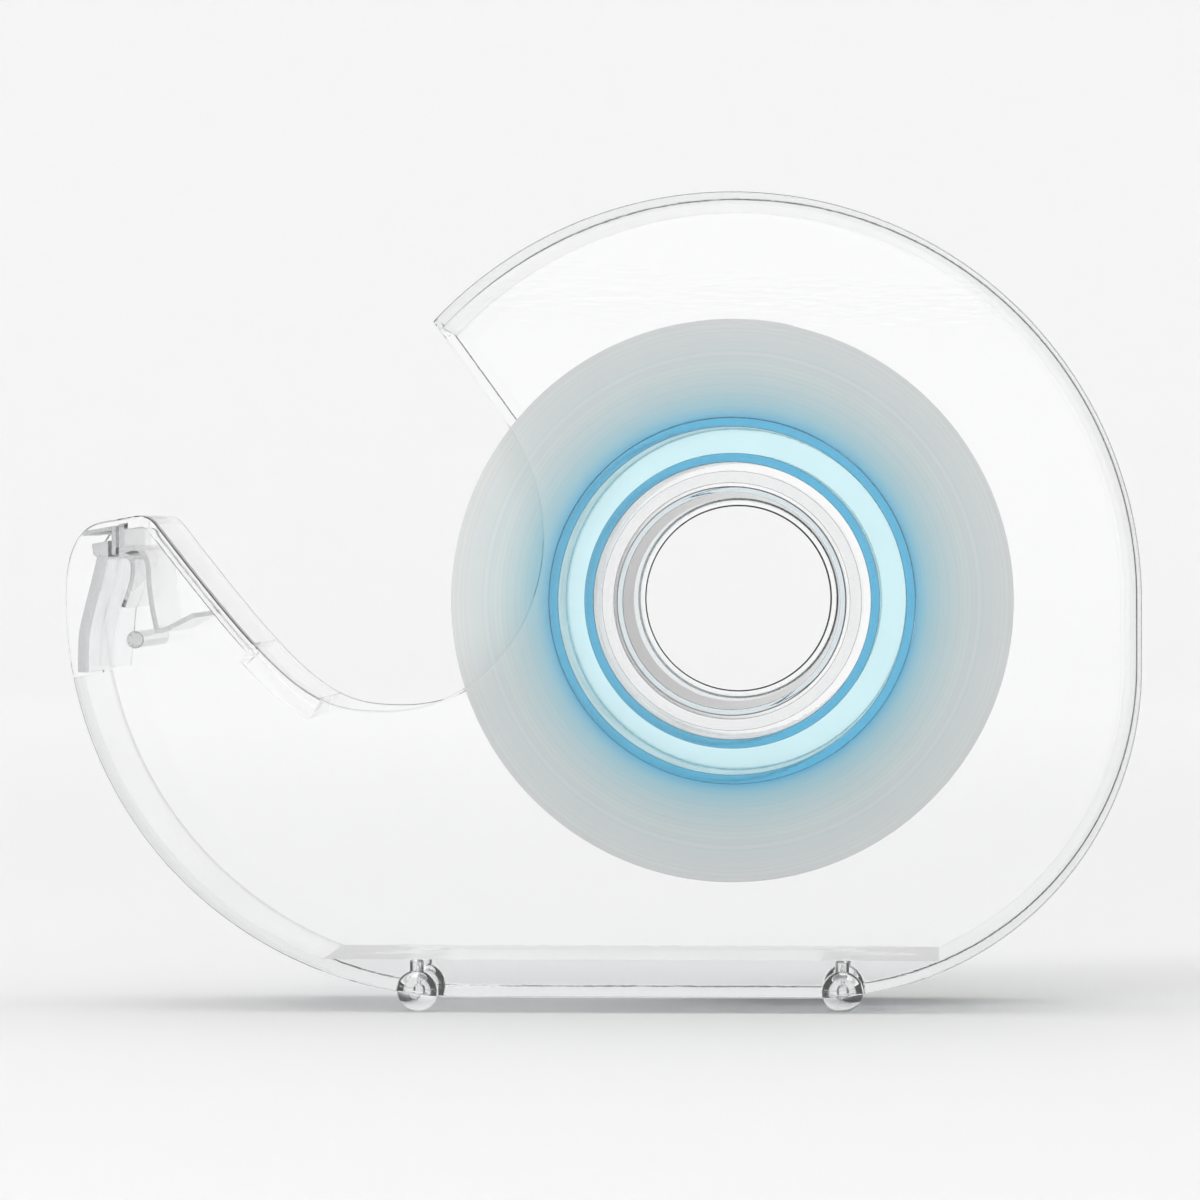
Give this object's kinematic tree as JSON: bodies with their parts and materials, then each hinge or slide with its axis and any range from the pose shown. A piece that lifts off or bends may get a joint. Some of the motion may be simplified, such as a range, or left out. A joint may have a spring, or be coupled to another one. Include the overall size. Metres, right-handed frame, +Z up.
{
  "type": "tape dispenser",
  "caption": "Clear hand-held tape dispenser: snail-shaped split case with a hollow hub, a roll of matte tape on a blue core, a nose with a toothed cutter, and ball feet.",
  "frame": {"origin": "middle of the footprint box, on the surface that the feet stand on", "axes": "+X from the nose to the back, +Y from the loose cover to the rear shell along the hub's axis, +Z up"},
  "size_m": [0.0984, 0.024, 0.0751],
  "materials": {
    "clear_case": "clear polished polystyrene",
    "blue_core": "translucent blue moulded plastic",
    "matte_tape": "wound matte film, satin side face",
    "blade_steel": "stamped steel strip"
  },
  "bodies": {
    "case": {"rear_shell": "clear_case", "foot_front_left": "clear_case", "foot_front_right": "clear_case", "foot_back_left": "clear_case", "foot_back_right": "clear_case", "cutter_holder": "clear_case", "cutter_blade": "blade_steel", "landing_ramp": "clear_case", "nose_pin": "clear_case"},
    "roll": {"spool_core": "blue_core", "tape_roll": "matte_tape"},
    "cover": {"front_shell": "clear_case"}
  },
  "joints": [
    {"name": "roll_spin", "type": "hinge", "parent": "case", "child": "roll", "pos_m": [0.01185, 0, 0.03775], "axis": [0, 1, 0], "continuous": true},
    {"name": "cover_pull", "type": "slide", "parent": "case", "child": "cover", "axis": [0, -1, 0], "range_m": [0, 0.03]}
  ]
}
